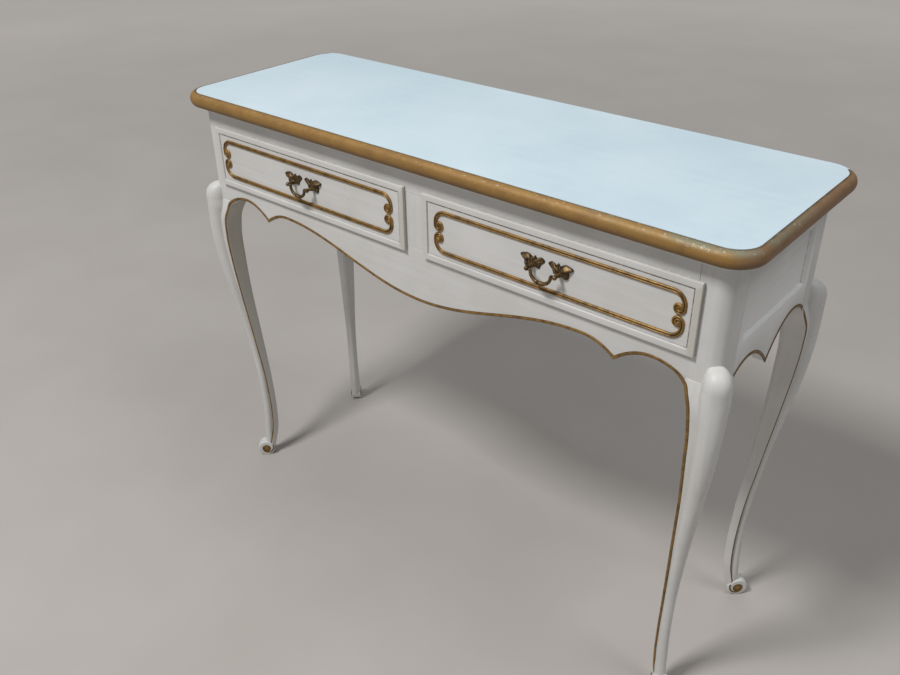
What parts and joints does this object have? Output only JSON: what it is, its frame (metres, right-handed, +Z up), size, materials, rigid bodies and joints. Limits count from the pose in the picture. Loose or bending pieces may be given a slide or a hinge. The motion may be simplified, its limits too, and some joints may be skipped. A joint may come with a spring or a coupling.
{
  "type": "hall table",
  "caption": "Painted hall table on slender cabriole legs with scroll feet, a shaped apron, lipped sliding drawers with drop handles, and a flat top with a half-round gilt edge.",
  "frame": {"origin": "on the floor under the middle of the table", "axes": "+X along the length to the right as seen from the front, +Y to the back, +Z up"},
  "size_m": [1.056, 0.36, 0.8],
  "materials": {
    "white_paint": "brushed off-white paint on wood, satin, a little worn",
    "blue_paint": "pale duck-egg blue paint on wood, satin",
    "old_gilt": "old bronze-gold paint on wood, worn on edges",
    "dark_brass": "dark antique brass, polished on high spots",
    "bare_timber": "bare sawn and planed softwood"
  },
  "bodies": {
    "frame": {"top_board": "blue_paint", "nosing_front": "old_gilt", "nosing_back": "old_gilt", "nosing_left": "old_gilt", "nosing_right": "old_gilt", "cove_front": "white_paint", "cove_left": "white_paint", "cove_right": "white_paint", "leg_front_left": "white_paint", "leg_front_right": "white_paint", "leg_back_left": "white_paint", "leg_back_right": "white_paint", "top_rail_front": "white_paint", "apron_front": "white_paint", "centre_muntin": "white_paint", "side_board_left": "white_paint", "side_board_right": "white_paint", "back_board": "bare_timber", "bearer_left": "bare_timber", "bearer_centre": "bare_timber", "bearer_right": "bare_timber", "guide_left": "bare_timber", "guide_centre": "bare_timber", "guide_right": "bare_timber", "kicker_left": "bare_timber", "kicker_centre": "bare_timber", "kicker_right": "bare_timber"},
    "drawer_left": {"drawer_left_front": "white_paint", "drawer_left_side_left": "bare_timber", "drawer_left_side_right": "bare_timber", "drawer_left_back": "bare_timber", "drawer_left_bottom": "bare_timber", "drawer_left_scroll_upper": "old_gilt", "drawer_left_scroll_lower": "old_gilt", "handle_left_rosette_left": "dark_brass", "handle_left_rosette_right": "dark_brass", "handle_left_nut_left": "dark_brass", "handle_left_nut_right": "dark_brass"},
    "drawer_right": {"drawer_right_front": "white_paint", "drawer_right_side_left": "bare_timber", "drawer_right_side_right": "bare_timber", "drawer_right_back": "bare_timber", "drawer_right_bottom": "bare_timber", "drawer_right_scroll_upper": "old_gilt", "drawer_right_scroll_lower": "old_gilt", "handle_right_rosette_left": "dark_brass", "handle_right_rosette_right": "dark_brass", "handle_right_nut_left": "dark_brass", "handle_right_nut_right": "dark_brass"},
    "bail_left": {"handle_left_bail": "dark_brass"},
    "bail_right": {"handle_right_bail": "dark_brass"}
  },
  "joints": [
    {"name": "drawer_left_slide", "type": "slide", "parent": "frame", "child": "drawer_left", "axis": [0, -1, 0], "range_m": [0, 0.2]},
    {"name": "drawer_right_slide", "type": "slide", "parent": "frame", "child": "drawer_right", "axis": [0, -1, 0], "range_m": [0, 0.2]},
    {"name": "bail_left_swing", "type": "hinge", "parent": "drawer_left", "child": "bail_left", "pos_m": [-0.24175, -0.1745, 0.6912], "axis": [-1, 0, 0], "range_deg": [-36, 216]},
    {"name": "bail_right_swing", "type": "hinge", "parent": "drawer_right", "child": "bail_right", "pos_m": [0.24175, -0.1745, 0.6912], "axis": [-1, 0, 0], "range_deg": [-36, 216]}
  ]
}
